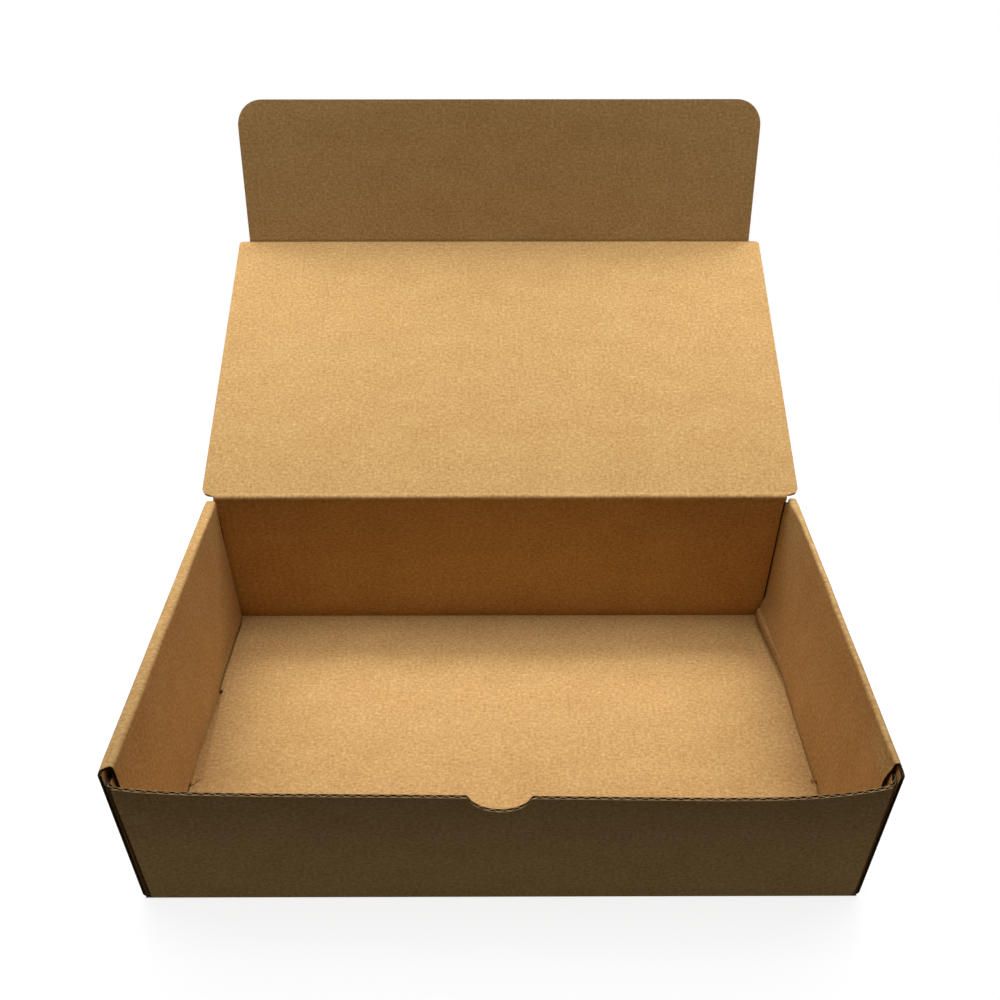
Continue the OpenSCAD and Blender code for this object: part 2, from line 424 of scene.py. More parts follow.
def side_surface(y, q, side, d):
    """Middle surface of one rolled side wall: its section carried along y, with the inner panel leaning
    in and the edge slightly wavy.

    The right wall's top leans out, most at the back, and its rolled edge slopes down to the outside.
    """
    waviness = 0.00018
    roll = d.rolls[side]
    depth, z = roll_section(q, roll, d)
    splay = 0
    if side > 0:
        splay = wall_splay(y, z, d)
        outwards = 1 - np.clip((depth - d.half) / (roll.depth - d.board.thickness), 0, 1)
        z = z - d.tray.tilt_right * outwards * np.clip((q - d.arc) / d.outer_run, 0, 1)
    inner = smooth((q - d.strip_start - d.roll_arc) / (roll.panel - d.strip_start - d.roll_arc))
    lean = panel_lean(y, np.maximum(q - roll.panel, 0), side, d) * inner
    wave = waviness * ramp(q, d.strip_start, d.roll_arc) * ripple(y, 0.047, 1.0 + side)
    x = side * (d.half_w - depth - lean - wave + splay)
    return np.stack([x, y + 0 * q, z + 0 * y], -1)


def side_ends(q, side, d):
    """Front and back y of a rolled side wall at the distance q along its section.

    The ends slant back round the rolled edge's outer fold, the inner panel stands back as far or
    further, and the rolled edge reaches further to the back than the panel.
    """
    reach_run = 0.012
    step = np.clip((q - d.strip_start) / d.roll_arc, 0, 1)
    strip = d.strip_start + d.roll_arc
    inner = np.clip((q - strip) / (d.rolls[side].third - strip), 0, 1)
    strip_front = d.tray.strip_front if side < 0 else d.tray.panel_front_right
    panel_front = d.tray.panel_front if side < 0 else d.tray.panel_front_right
    front = -d.half_d + d.tray.side_setback + step * (strip_front - d.tray.side_setback)
    front = front + inner * (panel_front - strip_front)
    back = d.half_d - d.tray.side_setback - step * (d.tray.panel_back - d.tray.side_setback)
    reach = d.tray.rear_left if side < 0 else d.tray.rear_right
    back = back + step * reach * (1 - ramp(q, d.rolls[side].panel, reach_run))
    return front, back


def wall_splay(y, z, d):
    """How far the right wall leans out, from y and z: a slanted line along y times the share of height."""
    towards_back = (1 + y / d.half_d) / 2
    top = d.tray.splay_front + towards_back * (d.tray.splay_back - d.tray.splay_front)
    return top * z / d.side_h


def dust_surface(z, p, side, end, d):
    """Middle surface of a dust flap: a quarter circle round the upright corner fold, then a straight
    run along the side wall.

    p is the distance from the wall's end, and end is -1 at the front and 1 at the back. On the right
    the flap leans with the wall and lies close against it.
    """
    closer = 0.0008
    turn = np.clip(p / d.fold, 0, QUARTER)
    run = np.maximum(p - d.arc, 0)
    x = side * (d.fold_half + np.minimum(p, 0) + d.fold * np.sin(turn))
    y = end * (d.half_d - d.half - d.fold * (1 - np.cos(turn)) - run)
    if side > 0:
        x = x + ramp(run, 0, 0.002) * (wall_splay(y, z, d) + closer)
    return np.stack([x + 0 * z, y + 0 * z, z + 0 * p], -1)


def hinged_surface(s, x, axis, turn):
    """A flat panel that leaves the axis at the angle turn from +Y: the axis point plus s that way."""
    y = axis[1] + s * math.cos(turn)
    z = axis[2] + s * math.sin(turn)
    return np.stack([x + 0 * s, y + 0 * x, z + 0 * x], -1)


def crease_surface(s, x, axis, turn, bend, half):
    """Middle surface of the board across a crease: a flat strip that leaves the axis at the angle turn,
    each point of it turned on about the axis by a smooth step of the whole bend."""
    angle = turn + bend * smooth((s + half) / (2 * half))
    y = axis[1] + s * np.cos(angle)
    z = axis[2] + s * np.sin(angle)
    return np.stack([x + 0 * s, y + 0 * x, z + 0 * x], -1)


def surface_normals(surface, r, c):
    """Unit normals of a surface: the cross product of its two slopes, taken over a short step."""
    along = surface(r + NORMAL_STEP, c) - surface(r - NORMAL_STEP, c)
    across = surface(r, c + NORMAL_STEP) - surface(r, c - NORMAL_STEP)
    normal = np.cross(along, across)
    return normal / np.linalg.norm(normal, axis=-1, keepdims=True)


class BoardMesh:
    """Collects the points, faces, finishes and flat-sheet places of the boards that make up one piece."""

    def __init__(self):
        self.points = []
        self.places = []
        self.faces = []
        self.finishes = []
        self.count = 0

    def add(self, points, places, faces, finishes):
        """Takes in one closed shell. Its faces number its own points from 0."""
        self.points.append(points.reshape(-1, 3))
        self.places.append(places.reshape(-1, 2))
        self.faces += [[corner + self.count for corner in face] for face in faces]
        self.finishes += list(finishes)
        self.count += points.size // 3

    def make(self, name, scene):
        """Makes the object: flat-sheet places become its UV map, faces point outwards, and folds are
        smooth."""
        points = np.concatenate(self.points)
        places = np.concatenate(self.places)
        mesh = bpy.data.meshes.new(name)
        mesh.from_pydata(points, [], self.faces)
        for finish in finishes(scene):
            mesh.materials.append(finish)
        mesh.polygons.foreach_set("material_index", np.array(self.finishes, dtype=np.int32))
        corners = np.zeros(len(mesh.loops), dtype=np.int32)
        mesh.loops.foreach_get("vertex_index", corners)
        mesh.uv_layers.new(name="sheet").data.foreach_set("uv", places[corners].astype(np.float32).ravel())
        shell = bmesh.new()
        shell.from_mesh(mesh)
        bmesh.ops.recalc_face_normals(shell, faces=shell.faces)
        shell.to_mesh(mesh)
        shell.free()
        mesh.shade_smooth()
        mesh.set_sharp_from_angle(angle=math.radians(40))
        piece = bpy.data.objects.new(name, mesh)
        scene.collection.objects.link(piece)
        return piece


def add_board(build, surface, rows, cols, d, place, raw_first=False, raw_last=False, dent=None, rim=CUT,
              crease=None):
    """Adds one closed board round a middle surface.

    rows holds the row parameter of every point, one column for each entry of cols. The two skins lie
    half the thickness either side of the middle surface, along its normal, less the dent on the inner
    one. At a raw end the board is crushed thinner, its liners have the finish rim, and a groove as wide
    as the fluted sheet reaches in to the next row. place gives a point's place on the flat sheet. Where
    crease holds, the inner skin takes the dark fluting finish as painted shade: the bottom of a tight
    fold or an open slot.
    """
    cols = np.broadcast_to(cols, rows.shape)
    mid = surface(rows, cols)
    normal = surface_normals(surface, rows, cols)
    pressed = 0 if dent is None else dent(rows, cols)[..., None]
    left = np.ones((len(rows), 1, 1))
    left[0] = d.board.crush if raw_first else 1
    left[-1] = d.board.crush if raw_last else 1
    inner = mid + normal * (d.half * left - pressed)
    outer = mid - normal * d.half * left
    core_in = mid + normal * (d.half * left - d.board.liner)
    core_out = mid - normal * (d.half * left - d.board.liner)
    flat = place(rows, cols)
    rings = [inner]
    places = [flat]
    kinds = [LINER] * (len(rows) - 1) + [rim]
    if raw_last:
        rings.append(np.stack([core_in[-1], core_in[-2], core_out[-2], core_out[-1]]))
        places.append(flat[[-1, -2, -2, -1]])
        kinds += [FLUTES_AND_SHADE] * 3 + [rim]
    rings.append(outer[::-1])
    places.append(flat[::-1] + np.array([OUTER_OFFSET, 0]))
    kinds += [LINER] * (len(rows) - 1) + [rim]
    if raw_first:
        rings.append(np.stack([core_out[0], core_out[1], core_in[1], core_in[0]]))
        places.append(flat[[0, 1, 1, 0]])
        kinds += [FLUTES_AND_SHADE] * 3 + [rim]
    points = np.concatenate(rings)
    index = np.arange(points.shape[0] * points.shape[1]).reshape(points.shape[:2])
    after = np.roll(index, -1, axis=0)
    quads = np.stack([index[:, :-1], index[:, 1:], after[:, 1:], after[:, :-1]], -1)
    finishes_of_quads = np.repeat(np.array(kinds)[:, None], quads.shape[1], axis=1)
    # Painted shade: quads where crease holds take the dark fluting finish
    if crease is not None:
        folded = crease(rows[:-1, :-1], cols[:-1, :-1]) & crease(rows[1:, 1:], cols[1:, 1:])
        finishes_of_quads[:len(rows) - 1][folded] = FLUTES_AND_SHADE
    faces = quads.reshape(-1, 4).tolist()
    ends = board_ends(index, len(rows), raw_first, raw_last)
    build.add(points, np.concatenate(places), faces + ends, np.append(finishes_of_quads, [EDGE] * len(ends)))


def board_ends(index, rows, raw_first, raw_last):
    """Faces that close a board at its first and last column: a ladder of quads between the two skins.

    Beside a groove the ladder's step also takes in the groove's two bottom corners, and each liner gets
    its own quad.
    """
    faces = []
    groove = 4 if raw_last else 0
    inner = index[:rows]
    outer = index[rows + groove:2 * rows + groove][::-1]
    for column in (0, -1):
        a = inner[:, column]
        b = outer[:, column]
        ladder = np.stack([a[:-1], a[1:], b[1:], b[:-1]], -1).tolist()
        if raw_last:
            lip_in, foot_in, foot_out, lip_out = index[rows:rows + 4, column].tolist()
            ladder[-2:] = [
                [a[-3], a[-2], foot_in, foot_out, b[-2], b[-3]],
                [a[-2], a[-1], lip_in, foot_in],
                [foot_out, lip_out, b[-1], b[-2]],
            ]
        if raw_first:
            lip_out, foot_out, foot_in, lip_in = index[-4:, column].tolist()
            ladder[:2] = [
                [a[0], a[1], foot_in, lip_in],
                [lip_out, foot_out, b[1], b[0]],
                [a[1], a[2], b[2], b[1], foot_out, foot_in],
            ]
        faces += ladder
    return faces


def add_flutes(build, surface, edge, inward, cols, d, place, cut=CUT):
    """Adds the fluted sheet in the groove of a raw edge, with the finish cut on its own edge.

    Along the edge the sheet swings from liner to liner as a sine. It runs straight in from the edge,
    and its swing is smaller at the edge, where the board is crushed.
    """
    inset = 0.00008
    reach = d.board.flute_depth - inset
    rows = np.stack([edge + inward * inset, edge + inward * reach])
    across = np.broadcast_to(cols, rows.shape)
    mid = surface(rows, across)
    normal = surface_normals(surface, rows, across)
    gap = np.array([d.half * d.board.crush - d.board.liner, d.core])[:, None]
    swing = np.sin(2 * math.pi * cols / d.board.flute_pitch)
    centre = (gap - d.board.fluting / 2) * swing
    top = mid + normal * (centre + d.board.fluting / 2)[..., None]
    bottom = mid + normal * (centre - d.board.fluting / 2)[..., None]
    points = np.stack([top[0], top[1], bottom[1], bottom[0]])
    flat = place(rows, across)
    index = np.arange(4 * len(cols)).reshape(4, -1)
    after = np.roll(index, -1, axis=0)
    quads = np.stack([index[:, :-1], index[:, 1:], after[:, 1:], after[:, :-1]], -1).reshape(-1, 4).tolist()
    kinds = np.repeat([FLUTES_AND_SHADE, FLUTES_AND_SHADE, FLUTES_AND_SHADE, cut], len(cols) - 1)
    quads += [index[:, 0].tolist(), index[:, -1].tolist()]
    build.add(points, flat[[0, 1, 1, 0]], quads, np.append(kinds, [FLUTES_AND_SHADE, FLUTES_AND_SHADE]))


def steps(*stops):
    """Parameters from stop to stop: each stop is (value, number of steps that lead up to it)."""
    runs = [np.array([stops[0][0]])]
    for before, (value, count) in zip(stops, stops[1:]):
        runs.append(np.linspace(before[0], value, count + 1)[1:])
    return np.concatenate(runs)


def between(first, last, shares):
    """Rows that run from first to last, one column for each entry, at the given shares of the way."""
    return first + shares[:, None] * (last - first)


def notch_profile(d):
    """The front wall's top edge as x and height, evenly spaced along the edge.

    A circle through the notch's bottom is met by two small shoulder circles that are level with the edge.
    """
    half = d.tray.notch_width / 2
    depth = d.tray.notch_depth
    shoulder = d.tray.notch_shoulder
    radius = (half**2 + depth**2) / (2 * depth)
    centre = radius - depth
    shoulder_x = math.sqrt((radius + shoulder)**2 - (centre + shoulder)**2)
    meet = math.atan2(shoulder_x, centre + shoulder)
    sweep = np.linspace(-meet, meet, 161)
    rounding = np.linspace(0, meet, 33)
    left_x = -shoulder_x + shoulder * np.sin(rounding)
    left_z = shoulder * (np.cos(rounding) - 1)
    notch_x = np.concatenate([left_x[:-1], radius * np.sin(sweep), -left_x[-2::-1]]) + d.tray.notch_shift
    x = np.concatenate([[-d.fold_half], notch_x, [d.fold_half]])
    z = np.concatenate([[0], left_z[:-1], centre - radius * np.cos(sweep), left_z[-2::-1], [0]])
    return x, d.front_h + z


def along_edge(x, z, spacing):
    """The same outline, with its points spaced evenly along it."""
    travelled = np.concatenate([[0], np.cumsum(np.hypot(np.diff(x), np.diff(z)))])
    stops = np.linspace(0, travelled[-1], int(travelled[-1] / spacing) + 1)
    return np.interp(stops, travelled, x), np.interp(stops, travelled, z)


def floor_dents(r, c, d):
    """How far the sheet's upper liner is pressed down, from the place on the sheet.

    A bell-shaped line runs along the floor's front and back folds. A groove runs along the foot of each
    inner side panel, wider behind the right lock tab and shallow along the left one. The back wall
    steps back at its two ends, behind the side panels. Beside a lock tab a straight slope leads down to
    the side wall, wider towards the front and faint on the right. The left tab's two ends and the right
    tab's front end have a small bell-shaped pit.
    """
    tray = d.tray
    lip = 0.0006
    end_run = 0.001
    crease_width = 0.00045
    groove_reach = 0.0005
    extra_reach = 0.0006
    band_back = 0.0014
    band_growth = 0.0030
    pit_length = 0.0009
    pit_reach = 0.0017
    deepest = 0.95 * d.board.thickness
    on_left = c < 0
    x = np.abs(c) * d.floor_w / d.fold_half
    face = np.where(on_left, panel_foot(r, -1, d), panel_foot(r, 1, d))
    reach = groove_reach + np.where(on_left, 0, extra_reach * ramp(-r, 0.020, 0.010))
    tab = tray.tab_length / 2
    fold = d.floor_half + d.arc / 2
    crease = np.exp(-((np.abs(r) - fold) / crease_width) ** 2)
    groove = ramp(x, face - reach, lip) * smooth((d.floor_half - np.abs(r)) / end_run)
    groove = groove * np.where(on_left & (np.abs(r) < tab), 0.2, 1)
    corner = ramp(np.abs(c), d.fold_half - CORNER_FOLD, lip) * ramp(-r, d.floor_half + d.arc, end_run)
    start = face - band_back - band_growth * np.clip((r + tab) / (2 * tab), 0, 1)
    slope = np.clip((x - start) / (face - start), 0, 1)
    slope = slope * smooth((tab + 0.0003 - np.abs(r)) / 0.0003) * np.where(on_left, 1, 0.1)
    pit = np.exp(-((np.abs(r) - tab - SLOT_END) / pit_length) ** 2) * ramp(x, face - pit_reach, lip)
    pit = np.where(on_left | (r > 0), pit, 0)
    dent = tray.crease_dent * crease + tray.gap_dent * groove + tray.corner_dent * corner
    dent = dent + tray.slot_dent * slope + tray.slot_pit * pit
    return np.minimum(dent, deepest)


def slot_end_shade(r, c, d):
    """Where the left lock slot lies open, which the inner skin shows as painted shade: a short wedge at
    its back end, and at its front end a slanted cut that runs from the panel's foot inwards and back."""
    wedge_half = 0.0009
    wedge_reach = 0.0016
    cut_half = 0.00045
    cut_reach = 0.0036
    cut_slant = 0.6
    inwards = panel_foot(r, -1, d) - np.abs(c) * d.floor_w / d.fold_half
    end = d.tray.tab_length / 2 + SLOT_END
    back = (np.abs(r + end) < wedge_half) & (inwards < wedge_reach)
    front = (np.abs(r - end + cut_slant * inwards) < cut_half) & (inwards < cut_reach)
    return (c < 0) & (back | front)


def tray_place(r, c):
    """The flat sheet's own axes: x across the flutes, and r along them."""
    return np.stack([c, r], -1)


def build_tray_sheet(scene):
    """Front wall, floor and back wall as one board, with open flutes along the front wall's top edge."""
    d = sizes(scene)
    build = BoardMesh()
    # Stretches of the sheet with closer points: beside the panels, and round the ends of the lock tabs
    panel_strip = 0.008
    past_tab = 0.0018
    wedge = 0.0006
    cut = 0.003
    tab_edge = 0.0002

    def surface(r, c):
        return tray_surface(r, c, d)

    x, z = notch_profile(d)
    fine_x, fine_z = along_edge(x, z, FLUTE_STEP)
    near = np.abs(fine_x - d.tray.notch_shift) < d.tray.notch_width / 2 + 2 * d.tray.notch_shoulder
    lock = d.fold_half - panel_strip
    outside = steps((d.tray.notch_width, 1), (lock, 40), (d.fold_half, 28))
    cols = np.unique(np.concatenate([-outside, fine_x[near], outside, fine_x[~near][::12]]))
    top = wall_row(np.interp(cols, fine_x, fine_z), d)
    tab = d.tray.tab_length / 2
    lower = steps((d.hinge_r + d.lid.crease_half, 1), (-d.floor_half - d.arc, 14), (-d.floor_half, 8),
                  (-tab - past_tab, 14), (-tab + wedge, 12), (tab - cut, 10), (tab - tab_edge, 11),
                  (tab + past_tab, 10), (d.floor_half, 14), (d.floor_half + d.arc, 8))
    base = d.floor_half + d.arc
    depth = d.board.flute_depth
    rising = between(base, top - depth, np.linspace(0, 1, 15)[1:])
    rows = np.concatenate([np.repeat(lower[:, None], len(cols), axis=1), rising, top[None, :]])

    def dent(r, c):
        return floor_dents(r, c, d)

    # Painted shade: the back wall's two end folds and the open ends of the left lock slot take the dark
    # fluting finish
    def crease(r, c):
        corner = (np.abs(c) > d.fold_half - CORNER_FOLD) & (r < -d.floor_half - 0.5 * d.arc)
        return corner | slot_end_shade(r, c, d)

    add_board(build, surface, rows, cols, d, tray_place, raw_last=True, dent=dent, crease=crease)
    add_flutes(build, surface, wall_row(fine_z, d), -1, fine_x, d, tray_place)
    piece = build.make("front_floor_back", scene)
    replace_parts(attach(piece, "tray"), "tray")


def build_side(scene, side, name):
    """One rolled side wall with open flutes at both its ends, painted as dark as the fluting for shade, and
    its lock tab.
    """
    d = sizes(scene)
    build = BoardMesh()

    def surface(y, q):
        return side_surface(y, q, side, d)

    def place(y, q):
        return np.stack([side * (d.floor_w + q), -y], -1)

    roll = d.rolls[side]
    cols = steps((0, 1), (d.arc, 8), (d.strip_start, 16), (d.strip_start + d.roll_arc, 8), (roll.third, 2),
                 (roll.panel, 8), (roll.end - 0.006, 24), (roll.end, 16))
    front, back = side_ends(cols, side, d)
    depth = d.board.flute_depth
    middle = between(front + depth, back - depth, np.linspace(0, 1, 41))
    rows = np.concatenate([front[None, :], middle, back[None, :]])
    # Painted shade: the raw ends' liner edges and cut flutes take the dark fluting finish, for the shade on
    # these faces
    add_board(build, surface, rows, cols, d, place, raw_first=True, raw_last=True, rim=FLUTES_AND_SHADE)
    fine = np.linspace(0, roll.end, int(roll.end / FLUTE_STEP))
    front, back = side_ends(fine, side, d)
    add_flutes(build, surface, front, 1, fine, d, place, cut=FLUTES_AND_SHADE)
    add_flutes(build, surface, back, -1, fine, d, place, cut=FLUTES_AND_SHADE)
    above_ground = 0.0002
    tab = np.linspace(-1, 1, 25) * d.tray.tab_length / 2
    reach = roll.end + d.board.thickness + d.tray.panel_gap - above_ground
    tab_cols = np.linspace(roll.end, reach, 4)
    add_board(build, surface, np.repeat(tab[:, None], 4, axis=1), tab_cols, d, place)
    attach(build.make(name, scene), "tray")


def build_dust_flaps(scene):
    """The four dust flaps, each from its upright corner fold to a free end with slanted corners. The
    rear ones step down to the height of the front ones just past their fold."""
    d = sizes(scene)
    build = BoardMesh()
    run = d.tray.dust_length - d.fold_out
    cols = steps((0, 1), (d.arc, 8), (d.arc + run - d.tray.dust_slant, 12), (d.arc + run, 6))
    fine = np.linspace(0, cols[-1], int(cols[-1] / FLUTE_STEP))
    depth = d.board.flute_depth
    for end, top in ((-1, d.front_h), (1, d.dust_top)):
        for side in (-1, 1):
            def surface(z, p, side=side, end=end):
                return dust_surface(z, p, side, end, d)

            def place(z, p, side=side, end=end):
                return np.stack([side * (d.fold_half + p), -end * wall_row(z, d)], -1)

            def slant(p):
                return np.maximum(p - (cols[-1] - d.tray.dust_slant), 0)

            def high(p, top=top):
                return top - (top - d.front_h) * ramp(p, 0.004, 0.008) - slant(p)

            # Painted shade: the inner skin round the upright corner fold takes the dark fluting finish
            def crease(z, p):
                return p < 0.6 * d.arc + 0 * z

            low = d.fold_out + slant(cols)
            middle = between(low + depth, high(cols) - depth, np.linspace(0, 1, 13))
            rows = np.concatenate([low[None, :], middle, high(cols)[None, :]])
            add_board(build, surface, rows, cols, d, place, raw_first=True, raw_last=True, crease=crease)
            add_flutes(build, surface, high(fine), -1, fine, d, place)
            add_flutes(build, surface, d.fold_out + slant(fine), 1, fine, d, place)
    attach(build.make("dust_flaps", scene), "tray")


def round_ends(distance, radius):
    """How much narrower a panel is at this distance from its end, for a round corner: the radius less
    the height of a quarter circle."""
    inside = np.clip(radius - distance, 0, radius)
    return radius - np.sqrt(radius**2 - inside**2)


def build_lid(scene):
    """The lid: a flat board with round corners beside its hinge, joined to a crease strip at each end."""
    d = sizes(scene)
    build = BoardMesh()
    strip = d.lid.crease_half
    corner = d.lid.hinge_corner

    def half_width(s):
        return d.lid_half - round_ends(s - strip + 0.3 * corner, corner)

    def surface(s, c):
        return hinged_surface(s, c * half_width(s), d.hinge, d.lid_turn)

    def place(s, c):
        return np.stack([c * half_width(s), d.hinge_r - s], -1)

    stations = steps((strip, 1), (strip + corner, 12), (d.lid_len - strip, 32))
    cols = np.linspace(-1, 1, 61)
    add_board(build, surface, np.repeat(stations[:, None], len(cols), axis=1), cols, d, place)
    piece = build.make("lid_panel", scene)
    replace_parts(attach(piece, "lid"), "lid")


def build_tuck_flap(scene):
    """The tuck flap: a flat board whose free edge has two large round corners and shows the open flutes."""
    d = sizes(scene)
    build = BoardMesh()
    strip = d.lid.crease_half
    corner = d.lid.flap_corner
    depth = d.board.flute_depth

    def surface(s, x):
        return hinged_surface(s, x, d.tuck, d.flap_turn)

    def place(s, x):
        return np.stack([x, d.hinge_r - d.lid_len - s], -1)

    sweep = np.linspace(0, QUARTER, 60)
    round_x = d.flap_half - corner + corner * np.sin(sweep)
    round_s = d.flap_len - corner + corner * np.cos(sweep)
    x = np.concatenate([-round_x[::-1], round_x])
    s = np.concatenate([round_s[::-1], round_s])
    fine_x, fine_s = along_edge(x, s, FLUTE_STEP)
    curved = np.abs(fine_x) > d.flap_half - corner
    cols = np.unique(np.concatenate([fine_x[curved][::2], fine_x[~curved][::10], fine_x[[0, -1]]]))
    top = np.interp(cols, fine_x, fine_s)
    rising = between(strip, top - depth, np.linspace(0, 1, 19))
    rows = np.concatenate([rising, top[None, :]])
    add_board(build, surface, rows, cols, d, place, raw_last=True)
    add_flutes(build, surface, fine_s, -1, fine_x, d, place)
    piece = build.make("tuck_panel", scene)
    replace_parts(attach(piece, "tuck_flap"), "tuck_flap")


def build_crease(scene, name, axis, turn, bend, half_width, start_r, line=0.0):
    """A strip of board across a crease, bent between the two panels.

    half_width gives the strip's half width from the distance past the axis. line is the width of the
    line of painted shade, in the dark fluting finish, just past the axis.
    """
    d = sizes(scene)
    build = BoardMesh()
    half = d.lid.bend_half

    def surface(s, c):
        return crease_surface(s, c * half_width(s), axis, turn, bend, half)

    def place(s, c):
        return np.stack([c * half_width(s), start_r - s], -1)

    strip = d.lid.crease_half
    edge = d.lid.shoulder
    stations = steps((-strip, 1), (edge, 24), (edge + SHOULDER_STEP, 1), (strip, 18))
    cols = np.linspace(-1, 1, 121)

    # Painted shade: a line this wide just past the shoulder takes the dark fluting finish
    def crease(s, c):
        return (s > edge) & (s < edge + line)

    add_board(build, surface, np.repeat(stations[:, None], len(cols), axis=1), cols, d, place, crease=crease)
    piece = build.make(name, scene)
    start = surface(np.array(-half), np.array(0.0))
    end = surface(np.array(half), np.array(0.0))
    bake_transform(piece)


def build_creases(scene):
    """The two creases: back wall to lid, and lid to tuck flap."""
    d = sizes(scene)
    corner = d.lid.hinge_corner
    lid_start = d.lid_half - round_ends(np.array(0.3 * corner), corner)

    def hinge_width(s):
        return d.fold_half + (lid_start - d.fold_half) * smooth(s / d.lid.crease_half)

    def tuck_width(s):
        shoulder = d.lid_half - round_ends(d.lid.shoulder - s, d.lid.front_corner)
        past = np.clip((s - d.lid.shoulder) / SHOULDER_STEP, 0, 1)
        return shoulder + past * (d.flap_half - shoulder)

    build_crease(scene, "lid_crease", d.hinge, QUARTER, d.lid_turn - QUARTER,
                 hinge_width, d.hinge_r)
    build_crease(scene, "tuck_crease", d.tuck, d.lid_turn, d.flap_turn - d.lid_turn,
                 tuck_width, d.hinge_r - d.lid_len, d.lid.shade_line)


def put(tree, kind, **values):
    """Adds a node and sets its properties, or its inputs by their names."""
    node = tree.nodes.new(kind)
    for key, value in values.items():
        if key in node.inputs:
            node.inputs[key].default_value = value
        else:
            setattr(node, key, value)
    return node


def maths(tree, operation, first, second=None):
    """Adds a Math node. Each input is a socket to link or a number."""
    node = put(tree, "ShaderNodeMath", operation=operation)
    for socket, value in zip(node.inputs, (first, second)):
        if isinstance(value, bpy.types.NodeSocket):
            tree.links.new(value, socket)
        elif value is not None:
            socket.default_value = value
    return node.outputs[0]


def scaled_noise(tree, vector, scale, detail):
    """A noise about 0 on sheet places in millimetres, stretched by the scale in x and y."""
    mapping = put(tree, "ShaderNodeMapping")
    mapping.inputs["Scale"].default_value = (scale[0], scale[1], 1.0)
    tree.links.new(vector, mapping.inputs["Vector"])
    noise = put(tree, "ShaderNodeTexNoise", noise_dimensions="2D")
    noise.inputs["Scale"].default_value = 1.0
    noise.inputs["Detail"].default_value = detail
    noise.inputs["Roughness"].default_value = 0.6
    tree.links.new(mapping.outputs["Vector"], noise.inputs["Vector"])
    return maths(tree, "SUBTRACT", noise.outputs["Fac"], 0.5)


def kraft_group(pitch):
    """Shader group for kraft paper, on places of the flat sheet.

    It holds fibre streaks across the flutes, fine grain, wide mottling, dark specks and the faint
    washboard of the flutes underneath. Darker fibres are also browner: the level goes into green and
    blue with a higher power than into red.
    """
    group = bpy.data.node_groups.get("kraft paper")
    if group:
        return group
    group = bpy.data.node_groups.new("kraft paper", "ShaderNodeTree")
    face = group.interface
    face.new_socket("Sheet", in_out="INPUT", socket_type="NodeSocketVector")
    face.new_socket("Colour", in_out="INPUT", socket_type="NodeSocketColor")
    for name in ("Fibre", "Grain", "Mottle", "Specks"):
        face.new_socket(name, in_out="INPUT", socket_type="NodeSocketFloat")
    face.new_socket("Colour", in_out="OUTPUT", socket_type="NodeSocketColor")
    face.new_socket("Height", in_out="OUTPUT", socket_type="NodeSocketFloat")
    given = put(group, "NodeGroupInput")
    result = put(group, "NodeGroupOutput")
    scale = put(group, "ShaderNodeVectorMath", operation="SCALE")
    scale.inputs["Scale"].default_value = MILLIMETRES
    group.links.new(given.outputs["Sheet"], scale.inputs[0])
    place = scale.outputs[0]
    fibre = scaled_noise(group, place, (0.28, 2.0), 3.0)
    grain = scaled_noise(group, place, (0.9, 0.95), 2.0)
    mottle = scaled_noise(group, place, (0.05, 0.09), 4.0)
    speck = scaled_noise(group, place, (0.55, 0.62), 0.0)
    level = maths(group, "MULTIPLY", fibre, given.outputs["Fibre"])
    level = maths(group, "ADD", level, maths(group, "MULTIPLY", grain, given.outputs["Grain"]))
    level = maths(group, "ADD", level, maths(group, "MULTIPLY", mottle, given.outputs["Mottle"]))
    level = maths(group, "ADD", level, 1.0)
    dark = put(group, "ShaderNodeMapRange")
    dark.inputs["From Min"].default_value = 0.405
    dark.inputs["From Max"].default_value = 0.43
    group.links.new(speck, dark.inputs["Value"])
    spot = maths(group, "MULTIPLY", dark.outputs["Result"], given.outputs["Specks"])
    level = maths(group, "MULTIPLY", level, maths(group, "SUBTRACT", 1.0, spot))
    parts = put(group, "ShaderNodeSeparateColor")
    tint = put(group, "ShaderNodeCombineColor")
    group.links.new(given.outputs["Colour"], parts.inputs[0])
    for channel, power in (("Red", 1.0), ("Green", 1.4), ("Blue", 2.0)):
        lit = maths(group, "MULTIPLY", parts.outputs[channel], maths(group, "POWER", level, power))
        group.links.new(lit, tint.inputs[channel])
    group.links.new(tint.outputs[0], result.inputs["Colour"])
    split = put(group, "ShaderNodeSeparateXYZ")
    group.links.new(place, split.inputs[0])
    turns = maths(group, "MULTIPLY", split.outputs["X"], 2 * math.pi / (MILLIMETRES * pitch))
    board_wave = maths(group, "SINE", turns)
    height = maths(group, "ADD", fibre, maths(group, "MULTIPLY", grain, 0.6))
    height = maths(group, "ADD", height, maths(group, "MULTIPLY", board_wave, 0.35))
    group.links.new(height, result.inputs["Height"])
    return group


